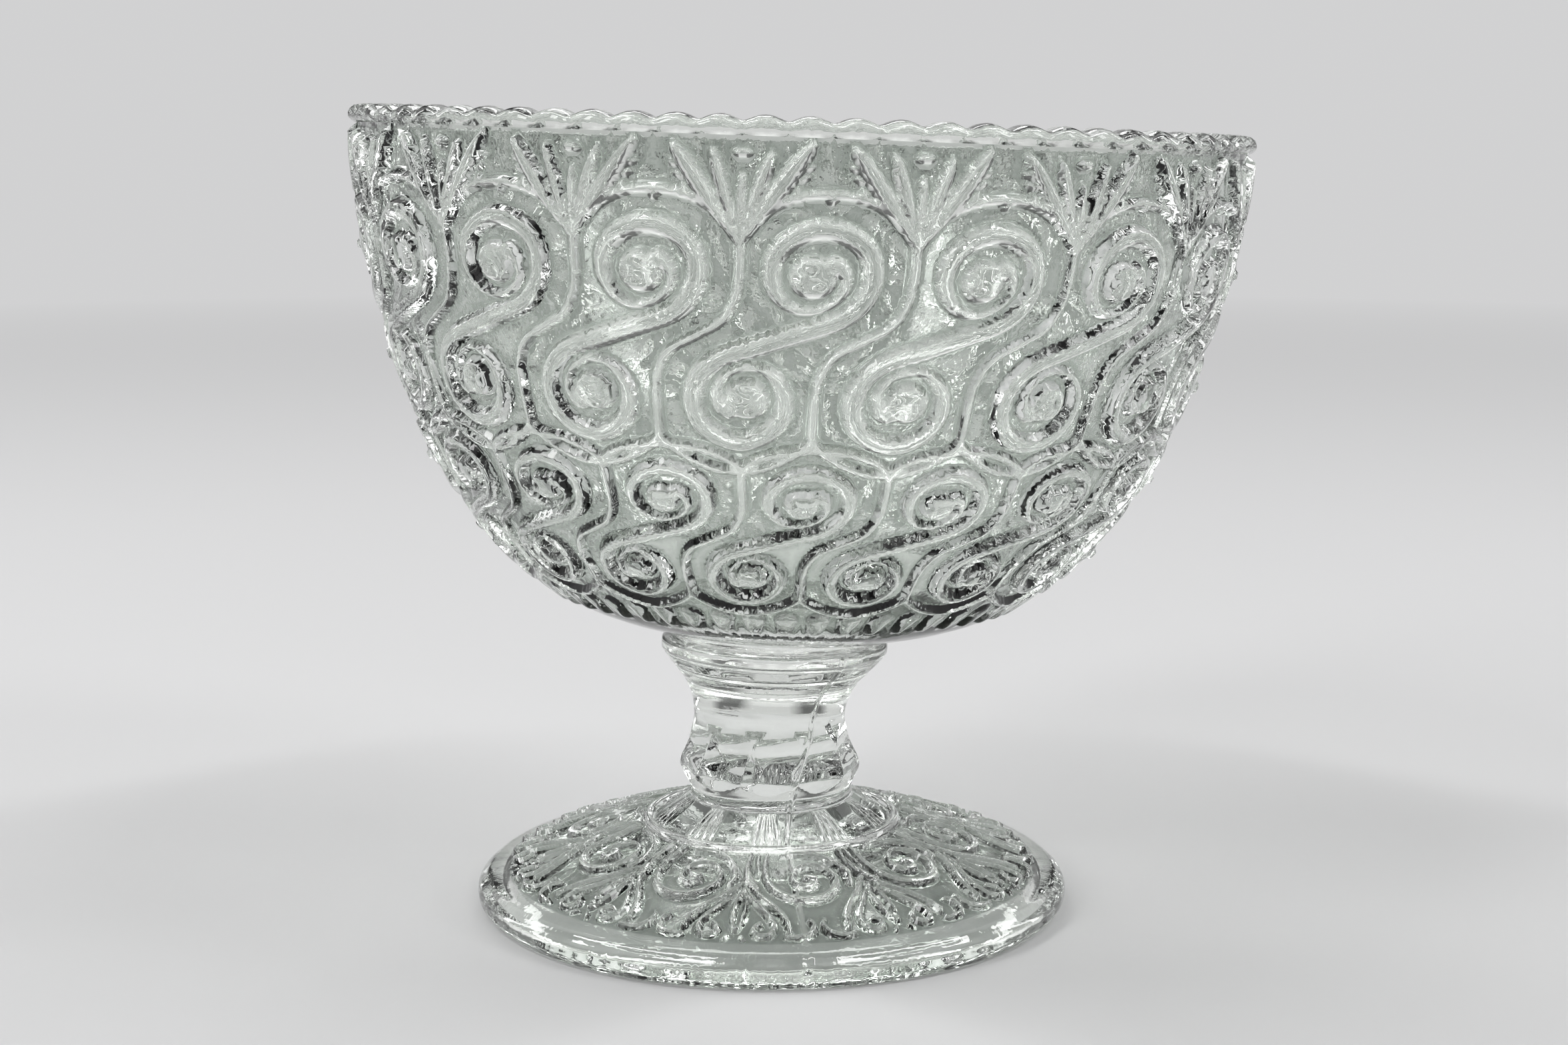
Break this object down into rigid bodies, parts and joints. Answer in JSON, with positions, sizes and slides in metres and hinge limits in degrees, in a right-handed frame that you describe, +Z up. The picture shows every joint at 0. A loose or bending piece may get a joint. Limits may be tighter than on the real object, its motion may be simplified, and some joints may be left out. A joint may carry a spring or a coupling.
{
  "type": "stemmed serving bowl",
  "caption": "Deep round glass bowl with scroll relief and a scalloped lip, leaning slightly on a faceted stem with a round domed foot.",
  "frame": {"origin": "on the table, under the centre of the bounding box, so a little to the side of the foot's centre because the bowl leans", "axes": "+Z up out of the bowl; the front of the picture looks along +Y, with +X to its right, the way that the bowl leans"},
  "size_m": [0.1188, 0.1188, 0.1076],
  "materials": {
    "clear_glass_stem": "clear pressed glass, fire polished, faint green-grey tint, with a mould seam",
    "clear_glass_wafer": "clear glass, slightly streaky where it was squeezed soft",
    "clear_glass_bowl": "clear pressed glass, fire polished, faint green-grey tint"
  },
  "bodies": {
    "root": {"stem_foot": "clear_glass_stem", "wafer": "clear_glass_wafer", "bowl": "clear_glass_bowl"}
  },
  "joints": []
}
